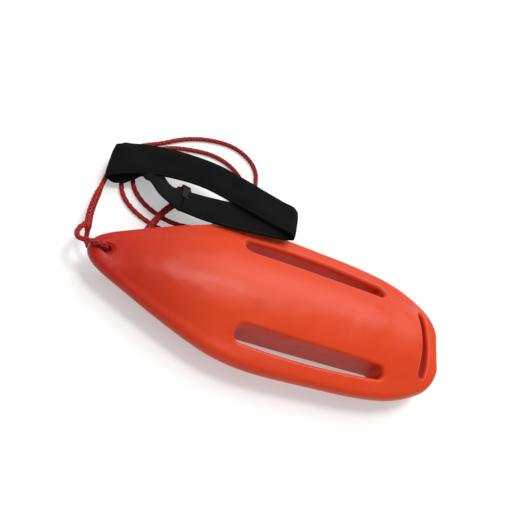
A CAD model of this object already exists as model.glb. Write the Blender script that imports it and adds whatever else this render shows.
import math

import bpy
import numpy as np
from mathutils import Matrix, Vector


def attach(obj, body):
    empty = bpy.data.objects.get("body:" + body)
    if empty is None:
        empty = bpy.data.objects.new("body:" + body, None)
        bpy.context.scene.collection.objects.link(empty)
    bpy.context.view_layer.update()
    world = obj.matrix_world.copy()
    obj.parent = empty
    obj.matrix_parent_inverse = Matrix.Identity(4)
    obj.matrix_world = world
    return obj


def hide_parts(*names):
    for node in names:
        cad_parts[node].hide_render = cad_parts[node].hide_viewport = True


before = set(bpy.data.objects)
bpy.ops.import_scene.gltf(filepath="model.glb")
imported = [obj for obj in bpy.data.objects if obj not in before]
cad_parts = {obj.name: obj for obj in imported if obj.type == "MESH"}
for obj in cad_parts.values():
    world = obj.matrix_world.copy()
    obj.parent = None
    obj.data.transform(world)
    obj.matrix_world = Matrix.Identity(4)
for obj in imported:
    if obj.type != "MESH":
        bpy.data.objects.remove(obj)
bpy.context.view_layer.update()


# The hull is one hollow moulding of red-orange polyethylene with a wall of about 4 mm, made in a
# closed mould with its three handles. The mould leaves a fine leathery grain, the cooling wall
# leaves slow ripples, and decks and docks leave light scuffs.
class Field:
    """A socket of a finish. Sums written on it become Math nodes."""

    def __init__(self, finish, socket):
        self.finish = finish
        self.socket = socket

    def math(self, operation, *terms):
        return self.finish.add("Math", {"operation": operation}, dict(enumerate(terms)))

    def __add__(self, other):
        return self.math("ADD", self, other)

    def __sub__(self, other):
        return self.math("SUBTRACT", self, other)

    def __mul__(self, other):
        return self.math("MULTIPLY", self, other)

    __radd__ = __add__

    def above(self, low, high):
        """0 below low, 1 above high, and even between them."""
        sockets = {"Value": self, "From Min": low, "From Max": high}
        return self.finish.add("MapRange", {"clamp": True}, sockets)


class Finish:
    """A surface finish: its shader's own values, and the one way that its nodes are added."""

    def __init__(self, name, values):
        self.material = bpy.data.materials.new(name)
        self.material.use_nodes = True
        self.tree = self.material.node_tree
        self.shader = self.tree.nodes["Principled BSDF"]
        for socket, value in values.items():
            self.shader.inputs[socket].default_value = value

    def add(self, kind, settings, sockets, out=0):
        node = self.tree.nodes.new("ShaderNode" + kind)
        for setting, value in settings.items():
            setattr(node, setting, value)
        for socket, value in sockets.items():
            if isinstance(value, Field):
                self.tree.links.new(value.socket, node.inputs[socket])
            else:
                node.inputs[socket].default_value = value
        return Field(self, node.outputs[out])

    def place(self):
        return self.add("TexCoord", {}, {}, "Object")

    def along_cloth(self):
        return self.add("UVMap", {"uv_map": "cloth"}, {}, "UV")

    def stretched(self, place, scale, turn=(0.0, 0.0, 0.0)):
        sockets = {"Vector": place, "Scale": scale, "Rotation": turn}
        return self.add("Mapping", {}, sockets)

    def parts(self, place):
        split = self.add("SeparateXYZ", {}, {"Vector": place})
        return [Field(self, socket) for socket in split.socket.node.outputs]

    def noise(self, place, scale, detail=2.0, roughness=0.5):
        sockets = {"Vector": place, "Scale": scale, "Detail": detail, "Roughness": roughness}
        return self.add("TexNoise", {}, sockets, "Fac")

    def mixed(self, share, low, high):
        sockets = {0: share, 6: low, 7: high}
        return self.add("Mix", {"data_type": "RGBA"}, sockets, 2)

    def bumped(self, height, depth, under=None):
        sockets = {"Height": height, "Distance": depth}
        if under:
            sockets["Normal"] = under
        return self.add("Bump", {}, sockets)

    def feed(self, **fields):
        for socket, field in fields.items():
            self.tree.links.new(field.socket, self.shader.inputs[socket.replace("_", " ")])


def moulded(name, lit, deep, grain_depth):
    """A moulded polyethylene finish: orange on the sunned back, a deeper red at nose and sides."""
    finish = Finish(name, {"Specular IOR Level": 0.26, "Subsurface Weight": 0.1,
                           "Subsurface Radius": (0.012, 0.003, 0.001), "Subsurface Scale": 0.5})
    place = finish.place()
    along, _, height = finish.parts(place)
    cloudy = finish.noise(place, 7.0, 3.0)
    grain = finish.noise(place, 1100.0, 3.0, 0.6)
    ripple = finish.noise(place, 24.0, 1.0)
    long_marks = finish.stretched(place, (60.0, 900.0, 900.0), (0.3, 0.2, 0.5))
    short_marks = finish.stretched(place, (700.0, 90.0, 700.0), (0.0, 0.4, -0.3))
    scuffs = finish.noise(long_marks, 1.0, 2.0).above(0.66, 0.72)
    scuffs = scuffs + finish.noise(short_marks, 1.0, 2.0).above(0.68, 0.74)
    scuffs = scuffs * finish.noise(place, 13.0, 2.0).above(0.56, 0.70)
    sunned = along.above(-0.36, -0.12) * (0.72 + height.above(0.030, 0.092) * 0.28)
    colour = finish.mixed(sunned + (cloudy - 0.5) * 0.25, deep, lit)
    pale = (lit[0], lit[1] * 2.2 + 0.03, lit[2] * 2.5 + 0.03, 1.0)
    colour = finish.mixed(scuffs * 0.35, colour, pale)
    normal = finish.bumped(ripple, 0.0022)
    normal = finish.bumped(grain, grain_depth, normal)
    finish.feed(
        Base_Color=colour,
        Roughness=0.27 + cloudy * 0.07 + scuffs * 0.18,
        Normal=normal,
    )
    return finish.material


def finished(node, material):
    """A CAD node that keeps its shape gets its own finish."""
    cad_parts[node].data.materials.clear()
    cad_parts[node].data.materials.append(material)


HULL_LIT = (0.74, 0.054, 0.007, 1.0)
HULL_DEEP = (0.42, 0.008, 0.005, 1.0)
finished("hull_shell", moulded("red_orange_polyethylene", HULL_LIT, HULL_DEEP, grain_depth=0.00018))


# The foam core is poured in through a hole in the underside and sets as pale closed-cell foam.
# The hole is shut by a pressed-in plug of the hull's own plastic from a smoother mould.
foam = Finish("poured_foam", {"Roughness": 0.9, "Specular IOR Level": 0.2})
FOAM_YELLOW = (0.80, 0.70, 0.45, 1.0)
FOAM_PALE = (0.88, 0.82, 0.62, 1.0)
foam_place = foam.place()
cells = foam.add("TexVoronoi", {"feature": "F1"}, {"Vector": foam_place, "Scale": 700.0}, "Distance")
foam.feed(
    Base_Color=foam.mixed(foam.noise(foam_place, 30.0), FOAM_YELLOW, FOAM_PALE),
    Normal=foam.bumped(cells, 0.0005),
)
finished("foam_core", foam.material)
PLUG_LIT = (0.72, 0.055, 0.009, 1.0)
PLUG_DEEP = (0.60, 0.030, 0.008, 1.0)
finished("fill_plug", moulded("plug_polyethylene", PLUG_LIT, PLUG_DEEP, grain_depth=0.00006))


# The tow line is 8 mm rope, braided hollow from eight flat strands of dark red polypropylene. Each
# end turns back into its own core, so the line is 12 mm thick behind each eye. It leaves the bow,
# lies in three loose turns, rises over itself and runs up to the shoulder strap.
ROPE_RADIUS = 0.004
SPLICE_RADIUS = 0.0060
TOW_ROUTE = [
    (-0.3565, 0.0335, 0.0475), (-0.3580, 0.0610, 0.0405), (-0.3550, 0.0940, 0.0310),
    (-0.3505, 0.1240, 0.0220), (-0.3460, 0.1490, 0.0135), (-0.3415, 0.1740, 0.0065),
    (-0.3350, 0.2080, 0.0040), (-0.3200, 0.2440, 0.0040), (-0.2900, 0.2730, 0.0040),
    (-0.2550, 0.2930, 0.0040), (-0.2200, 0.3200, 0.0040), (-0.1840, 0.3385, 0.0040),
    (-0.1460, 0.3495, 0.0040), (-0.1080, 0.3520, 0.0040), (-0.0740, 0.3380, 0.0040),
    (-0.0540, 0.3120, 0.0040), (-0.0520, 0.2760, 0.0040), (-0.0560, 0.2390, 0.0040),
    (-0.0670, 0.2020, 0.0040), (-0.0890, 0.1670, 0.0040), (-0.1180, 0.1370, 0.0040),
    (-0.1540, 0.1150, 0.0040), (-0.1960, 0.1040, 0.0040), (-0.2400, 0.1090, 0.0040),
    (-0.2780, 0.1240, 0.0040), (-0.3040, 0.1470, 0.0040), (-0.3140, 0.1780, 0.0040),
    (-0.3100, 0.2120, 0.0040), (-0.2940, 0.2440, 0.0040), (-0.2670, 0.2720, 0.0040),
    (-0.2320, 0.2940, 0.0040), (-0.1920, 0.3060, 0.0040), (-0.1520, 0.3130, 0.0040),
    (-0.1140, 0.3050, 0.0040), (-0.0850, 0.2830, 0.0040), (-0.0720, 0.2510, 0.0040),
    (-0.0750, 0.2180, 0.0040), (-0.0890, 0.1880, 0.0040), (-0.1120, 0.1630, 0.0040),
    (-0.1430, 0.1420, 0.0040), (-0.1770, 0.1300, 0.0040), (-0.2120, 0.1280, 0.0040),
    (-0.2440, 0.1370, 0.0040), (-0.2710, 0.1520, 0.0040), (-0.2900, 0.1750, 0.0040),
    (-0.2960, 0.2040, 0.0040), (-0.2830, 0.2370, 0.0040), (-0.2560, 0.2600, 0.0040),
    (-0.2230, 0.2730, 0.0040), (-0.1870, 0.2750, 0.0040), (-0.1510, 0.2680, 0.0040),
    (-0.1190, 0.2520, 0.0040), (-0.1000, 0.2260, 0.0040), (-0.0960, 0.2010, 0.0090),
    (-0.0970, 0.1810, 0.0145), (-0.1030, 0.1570, 0.0135), (-0.1080, 0.1390, 0.0135),
    (-0.1180, 0.1160, 0.0090), (-0.1360, 0.0950, 0.0040), (-0.1610, 0.0800, 0.0040),
    (-0.1920, 0.0680, 0.0040), (-0.2170, 0.0580, 0.0055), (-0.2350, 0.0540, 0.0075),
    (-0.2460, 0.0550, 0.0095), (-0.2530, 0.0590, 0.0115), (-0.2570, 0.0660, 0.0130),
    (-0.2570, 0.0760, 0.0144), (-0.2490, 0.0960, 0.0146), (-0.2410, 0.1130, 0.0146),
    (-0.2290, 0.1380, 0.0146), (-0.2175, 0.1555, 0.0105), (-0.2080, 0.1695, 0.0080),
]
# Length of a splice, of its taper and of its narrow throat at the eye; how far one strand runs along
# the line in a full turn; how far the braid swells beyond the line's radius; and a strand's width and
# thickness as shares of that radius. The weave's height and the core's inset are shares of half a
# strand's thickness.
SPLICE_LENGTH = 0.117
SPLICE_TAPER = 0.020
THROAT = 0.006
BRAID_LAY = 0.052
FULLNESS = 1.18
STRAND_WIDTH = 0.94
STRAND_THICKNESS = 0.36
WEAVE_SHARE = 0.7
CORE_INSET = 0.6
STRAND_OUTLINE = [(-1.0, 0.0), (-0.62, 0.78), (0.0, 1.0), (0.62, 0.78), (1.0, 0.0), (0.5, -0.6),
                  (-0.5, -0.6)]
STRANDS = 8
CORE_SIDES = 8
RING_SPACING = 0.0018


def smooth_line(points):
    """The smooth line that a rope takes through its hand-placed points."""
    curve = bpy.data.curves.new("line", "CURVE")
    curve.dimensions = "3D"
    curve.resolution_u = 20
    spline = curve.splines.new("NURBS")
    spline.points.add(len(points) - 1)
    for point, place in zip(spline.points, points):
        point.co = (*place, 1.0)
    spline.order_u = 3
    spline.use_endpoint_u = True
    holder = bpy.data.objects.new("line", curve)
    mesh = bpy.data.meshes.new_from_object(holder)
    line = np.array([vertex.co[:] for vertex in mesh.vertices])
    bpy.data.meshes.remove(mesh)
    bpy.data.curves.remove(curve)
    return line


def travelled(line):
    """Distance along a line at each of its points."""
    return np.concatenate([[0.0], np.cumsum(np.linalg.norm(np.diff(line, axis=0), axis=1))])


def unit(vectors):
    return vectors / np.linalg.norm(vectors, axis=-1, keepdims=True)


def rings_along(line, spacing):
    """Evenly spaced places along a line, with two directions square to it that never twist."""
    along = travelled(line)
    at = np.linspace(0.0, along[-1], int(along[-1] / spacing) + 1)
    centres = np.stack([np.interp(at, along, line[:, axis]) for axis in range(3)], axis=1)
    tangents = unit(np.gradient(centres, axis=0))
    sides = [unit(np.cross(tangents[0], (0.3, 0.2, 1.0)))]
    for tangent in tangents[1:]:
        sides.append(unit(sides[-1] - tangent * sides[-1].dot(tangent)))
    sides = np.array(sides)
    return at, centres, sides, np.cross(tangents, sides)


def lofted(name, grids, uv_grids, material):
    """A smooth mesh of one or more tubes, each a grid of points closed at its two ends."""
    points, faces, uvs = [], [], []
    start = 0
    for grid, uv_grid in zip(grids, uv_grids):
        rows, count = grid.shape[:2]
        points.append(grid.reshape(-1, 3))
        for row in range(rows - 1):
            for column in range(count):
                other = (column + 1) % count
                low = start + row * count
                high = low + count
                faces.append((low + column, low + other, high + other, high + column))
                uvs += [uv_grid[row, column], uv_grid[row, column + 1],
                        uv_grid[row + 1, column + 1], uv_grid[row + 1, column]]
        last = start + (rows - 1) * count
        faces.append(tuple(reversed(range(start, start + count))))
        uvs += [uv_grid[0, column] for column in reversed(range(count))]
        faces.append(tuple(range(last, last + count)))
        uvs += [uv_grid[-1, column] for column in range(count)]
        start += rows * count
    mesh = bpy.data.meshes.new(name)
    mesh.from_pydata(np.concatenate(points), [], faces)
    layer = mesh.uv_layers.new(name="cloth")
    layer.data.foreach_set("uv", np.array(uvs, np.float32).ravel())
    mesh.shade_smooth()
    mesh.materials.append(material)
    piece = bpy.data.objects.new(name, mesh)
    bpy.context.scene.collection.objects.link(piece)
    return piece


def braided(name, line, marks, radii, material):
    """A hollow braid along a line: four strands each way round, over and under, on a dark core."""
    at, centres, sides, ups = rings_along(line, RING_SPACING)
    radius = np.interp(at, marks, radii)
    lay = BRAID_LAY * (ROPE_RADIUS / radius) ** 0.5
    crossing = np.concatenate([[0.0], np.cumsum(STRANDS * np.diff(at) / lay[1:])])
    half_width = STRAND_WIDTH * radius / 2
    half_thickness = STRAND_THICKNESS * radius / 2
    weave = half_thickness * WEAVE_SHARE
    middle = radius * FULLNESS - half_thickness - weave
    grids, uv_grids = [], []
    outline = np.array(STRAND_OUTLINE)
    for strand in range(STRANDS):
        way = 1 if strand < STRANDS / 2 else -1
        turn = way * crossing * (2 * math.pi / STRANDS) + strand % (STRANDS // 2) * math.pi / 2
        height = middle + way * weave * np.cos(math.pi * crossing)
        angles = turn[:, None] + outline[:, 0] * (half_width / middle)[:, None]
        reach = height[:, None] + outline[:, 1] * half_thickness[:, None]
        across = sides[:, None] * np.cos(angles)[..., None] + ups[:, None] * np.sin(angles)[..., None]
        grids.append(centres[:, None] + across * reach[..., None])
        share = np.linspace(0.0, 1.0, len(outline) + 1) + strand
        uv_grids.append(np.stack(np.meshgrid(share, at), axis=-1))
    angles = np.linspace(0.0, 2 * math.pi, CORE_SIDES, endpoint=False)
    across = sides[:, None] * np.cos(angles)[:, None] + ups[:, None] * np.sin(angles)[:, None]
    grids.append(centres[:, None] + across * (middle - half_thickness * CORE_INSET)[:, None, None])
    for grid in grids:
        grid[..., 2] = np.maximum(grid[..., 2], 0.0)
    uv_grids.append(np.stack(np.meshgrid(np.linspace(9.0, 10.0, CORE_SIDES + 1), at), axis=-1))
    return lofted(name, grids, uv_grids, material)


ROPE_RED = (0.36, 0.006, 0.006, 1.0)
ROPE_PALE = (0.56, 0.020, 0.016, 1.0)
ROPE_GROOVE = (0.11, 0.002, 0.002, 1.0)
rope_finish = Finish("dark_red_polypropylene", {"Specular IOR Level": 0.35})
rope_place = rope_finish.along_cloth()
strand_share = rope_finish.parts(rope_place)[0]
from_middle = strand_share.math("ABSOLUTE", strand_share.math("FRACT", strand_share) - 0.5)
filaments = rope_finish.noise(rope_finish.stretched(rope_place, (30.0, 160.0, 1.0)), 1.0, 2.0)
dirt = rope_finish.noise(rope_finish.place(), 30.0, 3.0)
rope_colour = rope_finish.mixed(filaments.above(0.3, 0.7), ROPE_RED, ROPE_PALE)
grooves = from_middle.above(0.10, 0.40)
rope_finish.feed(
    Base_Color=rope_finish.mixed(grooves * 0.6 + dirt.above(0.55, 0.8) * 0.25, rope_colour, ROPE_GROOVE),
    Roughness=0.45 + filaments * 0.2,
    Normal=rope_finish.bumped(filaments, 0.00016),
)

tow_line = smooth_line(TOW_ROUTE)
tow_length = float(travelled(tow_line)[-1])
splice_marks = [0.0, THROAT, SPLICE_LENGTH - SPLICE_TAPER, SPLICE_LENGTH,
                tow_length - SPLICE_LENGTH, tow_length - SPLICE_LENGTH + SPLICE_TAPER,
                tow_length - THROAT, tow_length]
splice_radii = [SPLICE_RADIUS * 0.8, SPLICE_RADIUS, SPLICE_RADIUS * 0.92, ROPE_RADIUS,
                ROPE_RADIUS, SPLICE_RADIUS * 0.92, SPLICE_RADIUS, SPLICE_RADIUS * 0.8]
tow_rope = braided("tow_rope", tow_line, splice_marks, splice_radii, rope_finish.material)


# The bow eye passes over the nose, down through the bow hole and back under the nose. The strap
# eye passes round the folded tab of the strap. Both are the line's own ends, turned back.
BOW_EYE = [
    (-0.3575, 0.0520, 0.0440), (-0.3630, 0.0400, 0.0485), (-0.3700, 0.0290, 0.0520),
    (-0.3735, 0.0150, 0.0560), (-0.3690, 0.0030, 0.0620), (-0.3560, 0.0010, 0.0690),
    (-0.3400, 0.0010, 0.0700), (-0.3215, 0.0010, 0.0700), (-0.3215, 0.0015, 0.0300),
    (-0.3400, 0.0070, 0.0290), (-0.3520, 0.0170, 0.0330), (-0.3545, 0.0260, 0.0400),
    (-0.3555, 0.0400, 0.0430), (-0.3575, 0.0520, 0.0430),
]
STRAP_EYE = [
    (-0.2110, 0.1640, 0.0086), (-0.2045, 0.1700, 0.0080), (-0.1985, 0.1777, 0.0086),
    (-0.1850, 0.1845, 0.0090), (-0.1823, 0.2025, 0.0090), (-0.2081, 0.2064, 0.0090),
    (-0.2107, 0.1895, 0.0086), (-0.2115, 0.1740, 0.0080), (-0.2125, 0.1640, 0.0082),
]


def eye(name, points):
    line = smooth_line(points)
    ends = [0.0, travelled(line)[-1]]
    return braided(name, line, ends, [ROPE_RADIUS, ROPE_RADIUS], rope_finish.material)


bow_loop = eye("bow_eye_rope", BOW_EYE)
strap_loop = eye("strap_eye_rope", STRAP_EYE)
for piece, nodes in (
    (tow_rope, ("bow_splice", "line_coil", "strap_splice")),
    (bow_loop, ("bow_eye",)),
    (strap_loop, ("strap_eye",)),
):
    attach(piece, "tow_line")
    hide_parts(*nodes)


# The shoulder strap's sleeve is black padded cloth, 58 mm wide and 8 mm through, sewn along both
# long edges. It runs once round a shoulder, and its two ends meet where the line is tied on.
STRAP_HALF_WIDTH = 0.029
SLEEVE_HALF_DEPTH = 0.004
SEAM_SHARE = 0.84
PUCKER_REACH = 0.06
STITCH_PITCH = 0.0042
SPAN_STEPS = 16
SLEEVE_COLUMNS = 49
STRAP_LINE = [
    (-0.2050, 0.1510, 0.0490, 0.20, 0.95, -0.24), (-0.1650, 0.1445, 0.0590, 0.10, 0.98, -0.14),
    (-0.1310, 0.1405, 0.0690, 0.04, 0.99, -0.08), (-0.0980, 0.1400, 0.0750, 0.00, 1.00, -0.08),
    (-0.0580, 0.1425, 0.0785, 0.00, 0.99, -0.12), (-0.0220, 0.1485, 0.0792, 0.02, 0.99, -0.08),
    (-0.0050, 0.1530, 0.0790, 0.05, 1.00, -0.04), (0.0040, 0.1550, 0.0850, 0.05, 1.00, 0.00),
    (-0.0030, 0.1575, 0.0920, 0.06, 1.00, 0.02), (-0.0350, 0.1660, 0.0910, 0.15, 0.98, 0.04),
    (-0.0800, 0.1790, 0.0870, 0.22, 0.97, 0.06), (-0.1260, 0.1980, 0.0755, 0.20, 0.97, 0.10),
    (-0.1650, 0.2130, 0.0650, 0.14, 0.98, 0.12), (-0.2070, 0.2210, 0.0540, 0.06, 0.99, 0.13),
    (-0.2460, 0.2220, 0.0460, -0.02, 0.98, 0.16), (-0.2820, 0.2175, 0.0405, -0.06, 0.98, 0.17),
    (-0.3080, 0.2090, 0.0390, -0.06, 0.98, 0.17), (-0.3290, 0.2000, 0.0385, -0.02, 0.98, 0.20),
    (-0.3420, 0.1935, 0.0300, 0.06, 0.97, 0.20), (-0.3320, 0.1930, 0.0195, 0.08, 0.98, 0.15),
    (-0.3150, 0.1990, 0.0165, 0.06, 0.99, 0.07), (-0.2960, 0.2080, 0.0185, 0.10, 0.99, -0.02),
    (-0.2770, 0.2130, 0.0240, 0.22, 0.93, -0.24), (-0.2600, 0.1950, 0.0325, 0.34, 0.76, -0.50),
    (-0.2355, 0.1630, 0.0430, 0.30, 0.80, -0.48), (-0.2066, 0.1510, 0.0487, 0.20, 0.95, -0.24),
]


def through(points, steps):
    """A smooth curve that passes through every point, as many steps to each span."""
    points = np.array(points)
    ahead = np.diff(points, axis=0)
    reach = np.linalg.norm(ahead, axis=1)
    heading = unit(ahead / reach[:, None] ** 2)
    turning = [heading[0]]
    for number in range(1, len(reach)):
        near, far = reach[number - 1], reach[number]
        turning.append(unit(heading[number - 1] * far + heading[number] * near))
    turning.append(heading[-1])
    found = []
    for number, length in enumerate(reach):
        first, last = points[number], points[number + 1]
        out = first + turning[number] * length / 3
        back = last - turning[number + 1] * length / 3
        for share in np.arange(steps) / steps:
            rest = 1 - share
            found.append(rest ** 3 * first + 3 * rest ** 2 * share * out
                         + 3 * rest * share ** 2 * back + share ** 3 * last)
    return np.array(found + [points[-1]])


def strap_stations(steps):
    """Stations round the strap: distance, centre, direction across and direction out of its face."""
    centres = [row[:3] for row in STRAP_LINE]
    directions = unit(np.array([row[3:] for row in STRAP_LINE]))
    middle = through(centres, steps)
    tips = through(np.array(centres) + directions * STRAP_HALF_WIDTH, steps)
    across = unit(tips - middle)
    along = unit(np.gradient(middle, axis=0))
    face = unit(np.cross(along, across))
    slant = np.linalg.norm(np.cross(along, across), axis=1)
    return travelled(middle), middle, across / slant[:, None], face


def padding(share, distance):
    """Half thickness of the sleeve at a share of its half width: crowned, sewn down, with a hem."""
    share = np.abs(share)
    crown = np.clip(1 - (share / SEAM_SHARE) ** 4, 0, 1) ** 0.55
    swell = 1 + 0.05 * np.sin(distance * 41.0 + 1.3) * np.sin(distance * 97.0)
    from_seam = (share - SEAM_SHARE) / PUCKER_REACH
    pucker = 0.06 * np.cos(2 * math.pi * distance / STITCH_PITCH) * np.exp(-from_seam ** 2)
    body = 0.50 + 0.46 * crown * swell + pucker
    hem = 0.58 * np.sqrt(np.clip(1 - ((share - 0.92) / 0.08).clip(0, 1) ** 2, 0, 1))
    blend = ((share - SEAM_SHARE) / 0.05).clip(0, 1)
    return SLEEVE_HALF_DEPTH * (body * (1 - blend) + hem * blend)


def band(name, stations, shares, top, bottom, material):
    """A closed band that follows the strap: points across it, and its two faces' heights."""
    distance, middle, across, face = stations
    ring = np.concatenate([shares, shares[::-1][1:-1]])
    heights = np.concatenate([top, bottom[:, ::-1][:, 1:-1]], axis=1)
    grid = (middle[:, None] + across[:, None] * (ring * STRAP_HALF_WIDTH)[None, :, None]
            + face[:, None] * heights[..., None])
    round_it = travelled(np.stack([np.append(ring, ring[0]) * STRAP_HALF_WIDTH,
                                   np.append(heights[0], heights[0, 0])], axis=1))
    uv_grid = np.stack(np.meshgrid(round_it, distance), axis=-1)
    return lofted(name, [grid], [uv_grid], material)


def black_cloth(name, lit, deep, pitch, depth, shine=0.10):
    """A plain-woven black cloth on the piece's own cloth map, in metres."""
    finish = Finish(name, {"Specular IOR Level": shine, "Sheen Weight": 0.012, "Sheen Roughness": 0.5})
    place = finish.along_cloth()
    threads = [part.math("SINE", part * (2 * math.pi / pitch)) for part in finish.parts(place)[:2]]
    weave = threads[0] * threads[1]
    wear = finish.noise(finish.place(), 22.0, 4.0, 0.6)
    fuzz = finish.noise(finish.place(), 2600.0, 1.0)
    colour = finish.mixed(wear.above(0.35, 0.75), deep, lit)
    normal = finish.bumped(finish.noise(finish.place(), 90.0, 2.0), 0.0004)
    finish.feed(
        Base_Color=colour,
        Roughness=0.78 + wear * 0.12,
        Normal=finish.bumped(weave * 0.5 + fuzz * 0.5, depth, normal),
    )
    return finish.material


CLOTH_LIT = (0.0060, 0.0070, 0.0060, 1.0)
CLOTH_DEEP = (0.0022, 0.0028, 0.0025, 1.0)
sleeve_cloth = black_cloth("black_sleeve_cloth", CLOTH_LIT, CLOTH_DEEP, pitch=0.0009, depth=0.00012)
stations = strap_stations(SPAN_STEPS)
edge_angles = np.linspace(-math.pi / 2, math.pi / 2, SLEEVE_COLUMNS)
sleeve_shares = np.sign(np.sin(edge_angles)) * np.abs(np.sin(edge_angles)) ** 0.9
depths = padding(sleeve_shares[None, :], stations[0][:, None])
sleeve = band("padded_sleeve", stations, sleeve_shares, depths, -depths, sleeve_cloth)
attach(sleeve, "harness")
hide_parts("strap_sleeve")


# Inside the sleeve lies 50 mm webbing of black polyester with ribbed faces, which takes the pull.
# The padding hides it; it follows the same stations and stops short of the sleeve's sewn edges.
WEBBING_SHARE = 25.0 / 29.0
WEBBING_HALF_DEPTH = 0.0012
WEBBING_COLUMNS = 13
WEBBING_LIT = (0.014, 0.014, 0.015, 1.0)
WEBBING_DEEP = (0.007, 0.007, 0.0075, 1.0)
webbing_cloth = black_cloth("black_webbing", WEBBING_LIT, WEBBING_DEEP, pitch=0.0016, depth=0.0003, shine=0.3)
inner_shares = np.linspace(-WEBBING_SHARE, WEBBING_SHARE, WEBBING_COLUMNS)
flat = np.full((len(stations[0]), len(inner_shares)), WEBBING_HALF_DEPTH)
flat[:, [0, -1]] = 0.0
webbing = band("strap_webbing_band", stations, inner_shares, flat, -flat, webbing_cloth)
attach(webbing, "harness")
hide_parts("strap_webbing")


# A short tape of black cloth is sewn over the outside where the sleeve's two ends meet. It runs
# from one edge of the strap to a little past its middle, and lies close on the padding.
TAPE_REACH = 0.009
TAPE_GAP = 0.00015
TAPE_DEPTH = 0.0008
TAPE_FROM = -0.98
TAPE_TO = 7.0 / 29.0
TAPE_COLUMNS = 21
ENDS_GAP = 0.0017
TAPE_LIT = (0.013, 0.013, 0.013, 1.0)
TAPE_DARK = (0.007, 0.007, 0.007, 1.0)
tape_cloth = black_cloth("black_tape", TAPE_LIT, TAPE_DARK, pitch=0.0011, depth=0.0002)
distance, middle, across, face = stations
tail = distance > distance[-1] - TAPE_REACH
head = distance < TAPE_REACH
tape_rows = np.concatenate([np.flatnonzero(tail), np.flatnonzero(head)])
before_ends = tape_rows > len(distance) / 2
tape_distance = distance[tape_rows]
tape_distance = np.where(before_ends, tape_distance - distance[-1] - ENDS_GAP, tape_distance)
tape_stations = (tape_distance, middle[tape_rows], across[tape_rows], face[tape_rows])
tape_shares = np.linspace(TAPE_FROM, TAPE_TO, TAPE_COLUMNS)
under = -padding(tape_shares[None, :], np.zeros((len(tape_rows), 1))) - TAPE_GAP
tape = band("seam_tape_strip", tape_stations, tape_shares, under, under - TAPE_DEPTH, tape_cloth)
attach(tape, "harness")
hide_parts("seam_tape")


# The line tab is a strip of 16 mm webbing folded round the strap eye, its two leaves sewn on
# either side of the strap. Its places are given outward from the eye's cross piece, and upward.
EYE_MIDDLE = np.array((-0.1952, 0.20445, 0.009))
EYE_CROSSWISE = unit(np.array((0.989, -0.149, 0.0)))
EYE_OUTWARD = np.cross((0.0, 0.0, 1.0), EYE_CROSSWISE)
LINE_TAB = [
    (-0.0480, 0.0432), (-0.0330, 0.0378), (-0.0235, 0.0345), (-0.0120, 0.0210), (0.0030, 0.0105),
    (0.0060, 0.0040), (0.0060, -0.0068), (-0.0065, -0.0064), (-0.0105, 0.0020), (-0.0200, 0.0180),
    (-0.0290, 0.0252), (-0.0368, 0.0278), (-0.0460, 0.0312),
]
TAB_HALF_WIDTH = 0.008
TAB_HALF_DEPTH = 0.001
tab_line = smooth_line([EYE_MIDDLE + EYE_OUTWARD * outward + np.array((0, 0, height))
                        for outward, height in LINE_TAB])
tab_along = unit(np.gradient(tab_line, axis=0))
tab_face = unit(np.cross(tab_along, EYE_CROSSWISE))
TAB_OUTLINE = [(-1, -0.2), (-1, 0.2), (-0.97, 0.8), (-0.6, 1), (0, 1), (0.6, 1), (0.97, 0.8), (1, 0.2),
               (1, -0.2), (0.97, -0.8), (0.6, -1), (0, -1), (-0.6, -1), (-0.97, -0.8)]
tab_outline = np.array(TAB_OUTLINE)
tab_grid = (tab_line[:, None]
            + EYE_CROSSWISE[None, None] * (tab_outline[:, 0] * TAB_HALF_WIDTH)[None, :, None]
            + tab_face[:, None] * (tab_outline[:, 1] * TAB_HALF_DEPTH)[None, :, None])
round_tab = np.append(tab_outline[:, 0] * TAB_HALF_WIDTH, -TAB_HALF_WIDTH)
tab = lofted("line_tab_webbing", [tab_grid],
             [np.stack(np.meshgrid(round_tab, travelled(tab_line)), axis=-1)], webbing_cloth)
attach(tab, "harness")
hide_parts("line_tab")


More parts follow.
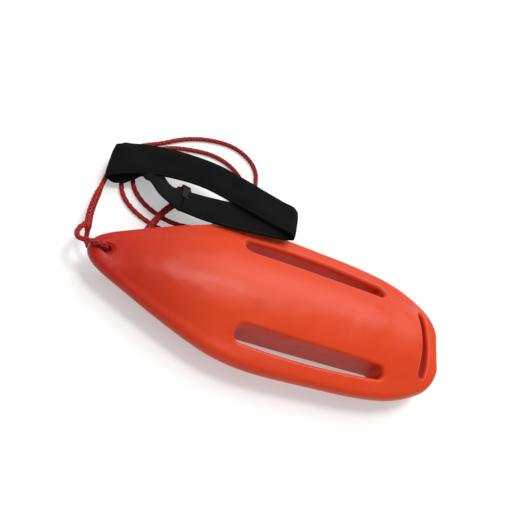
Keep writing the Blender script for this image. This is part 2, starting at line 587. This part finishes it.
# Everything is sewn with thick black thread: a row along each edge of the sleeve, on both faces,
# a row round the tape, and a box with its diagonals on the tab's upper leaf.
def stitching_tree():
    """Short rounded stitches laid end to end along the edges of a mesh."""
    tree = bpy.data.node_groups.new("stitching", "GeometryNodeTree")
    tree.interface.new_socket("Geometry", in_out="INPUT", socket_type="NodeSocketGeometry")
    for title, value in (("Pitch", 0.004), ("Length", 0.003), ("Thread", 0.0004)):
        socket = tree.interface.new_socket(title, in_out="INPUT", socket_type="NodeSocketFloat")
        socket.default_value = value
    tree.interface.new_socket("Material", in_out="INPUT", socket_type="NodeSocketMaterial")
    tree.interface.new_socket("Geometry", in_out="OUTPUT", socket_type="NodeSocketGeometry")

    def add(kind, settings, sockets):
        node = tree.nodes.new(kind)
        for setting, value in settings.items():
            setattr(node, setting, value)
        for socket, value in sockets.items():
            if isinstance(value, bpy.types.NodeSocket):
                tree.links.new(value, node.inputs[socket])
            else:
                node.inputs[socket].default_value = value
        return node.outputs

    given = add("NodeGroupInput", {}, {})
    path = add("GeometryNodeMeshToCurve", {}, {"Mesh": given["Geometry"]})["Curve"]
    even = add("GeometryNodeResampleCurve", {"mode": "LENGTH"},
               {"Curve": path, "Length": given["Pitch"]})["Curve"]
    bead = add("GeometryNodeMeshUVSphere", {}, {"Segments": 6, "Rings": 4, "Radius": 0.5})["Mesh"]
    size = add("ShaderNodeCombineXYZ", {},
               {"X": given["Thread"], "Y": given["Thread"], "Z": given["Length"]})["Vector"]
    stitch = add("GeometryNodeTransform", {}, {"Geometry": bead, "Scale": size})["Geometry"]
    heading = add("GeometryNodeInputTangent", {}, {})["Tangent"]
    turn = add("FunctionNodeAlignRotationToVector", {"axis": "Z"}, {"Vector": heading})["Rotation"]
    laid = add("GeometryNodeInstanceOnPoints", {},
               {"Points": even, "Instance": stitch, "Rotation": turn})["Instances"]
    real = add("GeometryNodeRealizeInstances", {}, {"Geometry": laid})["Geometry"]
    smooth = add("GeometryNodeSetShadeSmooth", {}, {"Geometry": real})["Geometry"]
    done = add("GeometryNodeSetMaterial", {},
               {"Geometry": smooth, "Material": given["Material"]})["Geometry"]
    add("NodeGroupOutput", {}, {"Geometry": done})
    return tree


# Pitch, length and thickness of one stitch
EDGE_STITCH = (STITCH_PITCH, 0.0034, 0.0006)
TAPE_STITCH = (0.0034, 0.0028, 0.0005)
BOX_STITCH = (0.0024, 0.0020, 0.0006)
THREAD_DARK = (0.010, 0.010, 0.011, 1.0)
THREAD_PALE = (0.026, 0.026, 0.028, 1.0)
stitching = stitching_tree()
thread = Finish("black_thread", {"Roughness": 0.6, "Specular IOR Level": 0.4})
twist = thread.noise(thread.place(), 1500.0, 2.0)
thread.feed(
    Base_Color=thread.mixed(twist, THREAD_DARK, THREAD_PALE),
    Normal=thread.bumped(twist, 0.0001),
)


def sewn(name, rows, stitch):
    """A piece of stitches along rows of points, as one plain mesh."""
    pitch, length, thickness = stitch
    points, edges = [], []
    for row in rows:
        start = len(points)
        points += [tuple(point) for point in row]
        edges += [(start + number, start + number + 1) for number in range(len(row) - 1)]
    mesh = bpy.data.meshes.new(name)
    mesh.from_pydata(points, edges, [])
    guide = bpy.data.objects.new(name + "_guide", mesh)
    bpy.context.scene.collection.objects.link(guide)
    modifier = guide.modifiers.new("stitching", "NODES")
    modifier.node_group = stitching
    values = {"Pitch": pitch, "Length": length, "Thread": thickness, "Material": thread.material}
    for item in stitching.interface.items_tree:
        if item.in_out == "INPUT" and item.name in values:
            modifier[item.identifier] = values[item.name]
    settled = guide.evaluated_get(bpy.context.evaluated_depsgraph_get())
    piece = bpy.data.objects.new(name, bpy.data.meshes.new_from_object(settled))
    piece.data.name = name
    bpy.data.objects.remove(guide)
    bpy.context.scene.collection.objects.link(piece)
    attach(piece, "harness")
    return piece


rows = []
for side in (-SEAM_SHARE, SEAM_SHARE):
    depth = padding(np.array([side])[None, :], distance[:, None])[:, 0]
    for way in (1, -1):
        rows.append(middle + across * side * STRAP_HALF_WIDTH + face * (way * depth)[:, None])
edge_stitches = sewn("edge_stitches", rows, EDGE_STITCH)

TAPE_SEWN = (-0.90, 0.16)
_, tape_middle, tape_across, tape_face = tape_stations
rows = []
for share in TAPE_SEWN:
    depth = padding(np.array([[share]]), np.zeros((1, 1)))[0, 0] + TAPE_GAP + TAPE_DEPTH
    rows.append(tape_middle + tape_across * share * STRAP_HALF_WIDTH - tape_face * depth)
for number in (1, -2):
    shares = np.linspace(*TAPE_SEWN, 12)
    depth = padding(shares[None, :], np.zeros((1, 1)))[0] + TAPE_GAP + TAPE_DEPTH
    rows.append(tape_middle[number] + np.outer(shares * STRAP_HALF_WIDTH, tape_across[number])
                - np.outer(depth, tape_face[number]))
tape_stitches = sewn("tape_stitches", rows, TAPE_STITCH)

BOX_SIDE = 0.012
BOX_MARGIN = 0.0012
box_top = tab_line[0] + tab_along[0] * BOX_MARGIN
if tab_face[0][2] < 0:
    leaf_up = -tab_face[0]
else:
    leaf_up = tab_face[0]
box_low = box_top + tab_along[0] * BOX_SIDE
lift = leaf_up * TAB_HALF_DEPTH
corner = {
    (end, side): place + EYE_CROSSWISE * side * BOX_SIDE / 2 + lift
    for end, place in ((0, box_top), (1, box_low)) for side in (-1, 1)
}
ROUTE_OF_BOX = [((0, -1), (0, 1)), ((0, 1), (1, 1)), ((1, 1), (1, -1)), ((1, -1), (0, -1)),
                ((0, -1), (1, 1)), ((0, 1), (1, -1))]
rows = [np.linspace(corner[here], corner[there], 5) for here, there in ROUTE_OF_BOX]
tab_stitches = sewn("tab_box_stitches", rows, BOX_STITCH)
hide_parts("tab_stitching")


# The studio is a plain pale floor that runs out of sight, two broad soft lamps, one nearly overhead
# and one from behind the line, and light from all round. The camera sees the distance
# as white, and a glow lifts the floor that it sees nearly to white.
def seen_white(finish):
    """1 where a ray comes from the camera, a glossy surface or a clear one."""
    rays = finish.add("LightPath", {}, {}, "Is Camera Ray")
    glossy = Field(finish, rays.socket.node.outputs["Is Glossy Ray"])
    clear = Field(finish, rays.socket.node.outputs["Is Transmission Ray"])
    return rays.math("MINIMUM", rays + glossy + clear, 1.0)


FLOOR_HALF = 12.0
FLOOR_LEVEL = -0.0004
FLOOR_GLOW = 0.34
DISTANCE_LIGHT = 0.50
DISTANCE_SEEN = 1.0
WHITE = (1.0, 1.0, 1.0, 1.0)
PAPER = (0.74, 0.74, 0.74, 1.0)
floor_mesh = bpy.data.meshes.new("floor")
floor_mesh.from_pydata([(-FLOOR_HALF, -FLOOR_HALF, FLOOR_LEVEL), (FLOOR_HALF, -FLOOR_HALF, FLOOR_LEVEL),
                        (FLOOR_HALF, FLOOR_HALF, FLOOR_LEVEL), (-FLOOR_HALF, FLOOR_HALF, FLOOR_LEVEL)],
                       [], [(0, 1, 2, 3)])
floor = bpy.data.objects.new("floor", floor_mesh)
bpy.context.scene.collection.objects.link(floor)
paper = Finish("pale_floor", {"Base Color": PAPER, "Roughness": 0.9, "Specular IOR Level": 0.1})
glow = paper.add("Emission", {}, {"Color": WHITE, "Strength": seen_white(paper) * FLOOR_GLOW}, "Emission")
surface = paper.add("AddShader", {}, {0: Field(paper, paper.shader.outputs["BSDF"]), 1: glow}, "Shader")
paper.tree.links.new(surface.socket, paper.tree.nodes["Material Output"].inputs["Surface"])
floor_mesh.materials.append(paper.material)

world = bpy.data.worlds.new("studio")
world.use_nodes = True
bpy.context.scene.world = world
distance_light = world.node_tree.nodes["Background"]
distance_light.inputs["Color"].default_value = WHITE
ray = world.node_tree.nodes.new("ShaderNodeLightPath")
level = world.node_tree.nodes.new("ShaderNodeMapRange")
level.inputs["To Min"].default_value = DISTANCE_LIGHT
level.inputs["To Max"].default_value = DISTANCE_SEEN
world.node_tree.links.new(ray.outputs["Is Camera Ray"], level.inputs["Value"])
world.node_tree.links.new(level.outputs["Result"], distance_light.inputs["Strength"])

for title, strength, width, towards in (
    ("overhead_lamp", 1.20, 18.0, (-0.09, -0.22, -0.97)),
    ("far_lamp", 1.1, 38.0, (-0.36, -0.64, -0.70)),
):
    lamp = bpy.data.objects.new(title, bpy.data.lights.new(title, "SUN"))
    lamp.data.energy = strength
    lamp.data.angle = math.radians(width)
    lamp.rotation_mode = "QUATERNION"
    lamp.rotation_quaternion = Vector(towards).to_track_quat("-Z", "Y")
    bpy.context.scene.collection.objects.link(lamp)


# The camera stands where the photograph was taken from, 1.35 m from the hull's middle and rolled so
# that the nose points to the upper left. The picture is a crop, so the lens is shifted a little.
CAMERA_AZIMUTH = math.radians(-38.0)
CAMERA_ELEVATION = math.radians(53.4)
CAMERA_ROLL = math.radians(49.6)
CAMERA_DISTANCE = 1.35
FOCAL_PIXELS = 747.6
SENSOR_WIDTH = 36.0
SHOWN_AT = (277.6, 306.3)
IMAGE_SIZE = (512, 511)
LOOKED_AT = Vector((0.0, 0.0, 0.05))

backward = Vector((math.sin(CAMERA_AZIMUTH) * math.cos(CAMERA_ELEVATION),
                   -math.cos(CAMERA_AZIMUTH) * math.cos(CAMERA_ELEVATION),
                   math.sin(CAMERA_ELEVATION)))
level_right = Vector((math.cos(CAMERA_AZIMUTH), math.sin(CAMERA_AZIMUTH), 0.0))
level_up = backward.cross(level_right)
right = level_right * math.cos(CAMERA_ROLL) + level_up * math.sin(CAMERA_ROLL)
up = level_up * math.cos(CAMERA_ROLL) - level_right * math.sin(CAMERA_ROLL)
camera = bpy.data.objects.new("camera", bpy.data.cameras.new("camera"))
camera.matrix_world = Matrix.Translation(LOOKED_AT + backward * CAMERA_DISTANCE) @ Matrix(
    (right, up, backward)).transposed().to_4x4()
camera.data.sensor_width = SENSOR_WIDTH
camera.data.lens = FOCAL_PIXELS / IMAGE_SIZE[0] * SENSOR_WIDTH
camera.data.shift_x = (IMAGE_SIZE[0] / 2 - SHOWN_AT[0]) / IMAGE_SIZE[0]
camera.data.shift_y = (SHOWN_AT[1] - IMAGE_SIZE[1] / 2) / IMAGE_SIZE[0]
bpy.context.scene.collection.objects.link(camera)
bpy.context.scene.camera = camera
bpy.context.scene.view_settings.view_transform = "Standard"
